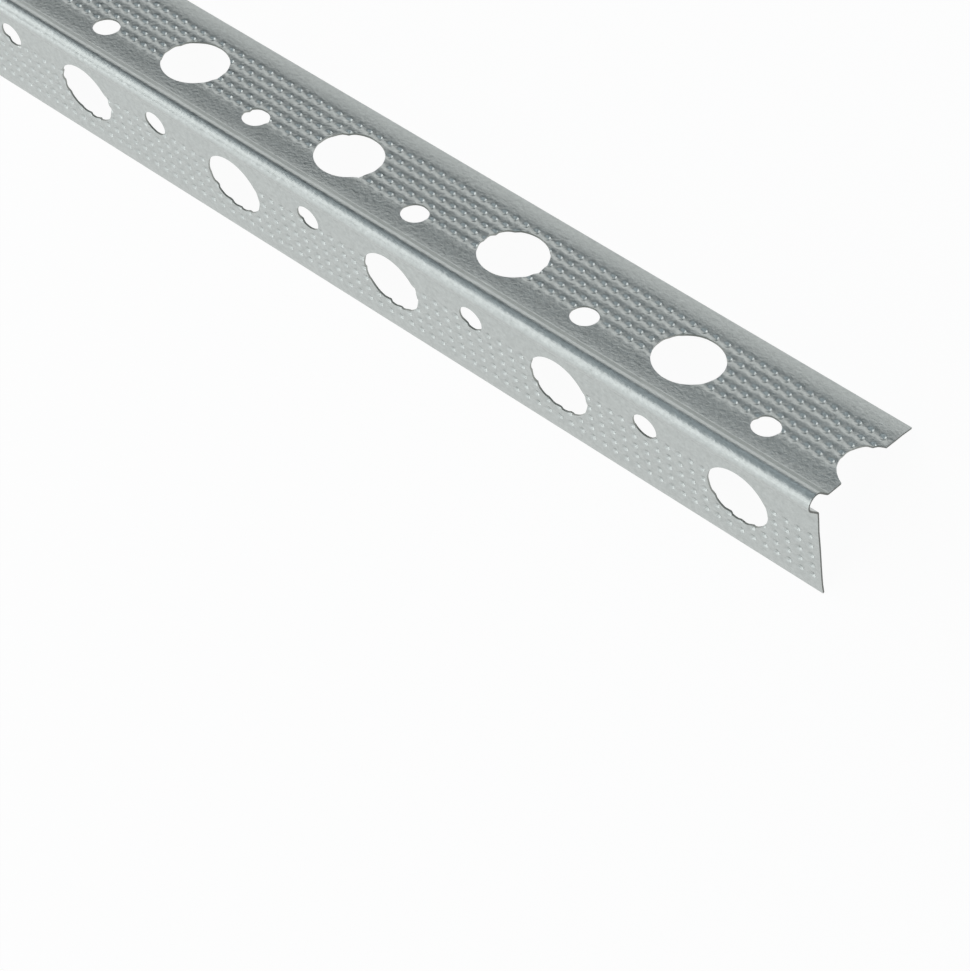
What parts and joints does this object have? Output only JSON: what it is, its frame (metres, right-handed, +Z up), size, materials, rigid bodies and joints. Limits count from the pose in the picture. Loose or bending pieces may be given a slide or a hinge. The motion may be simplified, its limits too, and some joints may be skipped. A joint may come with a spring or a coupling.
{
  "type": "plaster corner bead",
  "caption": "Folded galvanised steel corner bead with a rounded nose and two perforated, dimpled legs, fixed over an outside wall corner to straighten and guard the plaster edge.",
  "frame": {"origin": "middle of the length, at floor level, below the nose", "axes": "+X along the length, away from the pictured end; +Y towards the leg that is bright in the picture; +Z up through the nose"},
  "size_m": [2.438, 0.0396, 0.0279],
  "materials": {
    "galvanised_steel": "hot-dip galvanised, dull grey zinc with a faint mottle"
  },
  "bodies": {
    "root": {"corner_bead": "galvanised_steel"}
  },
  "joints": []
}
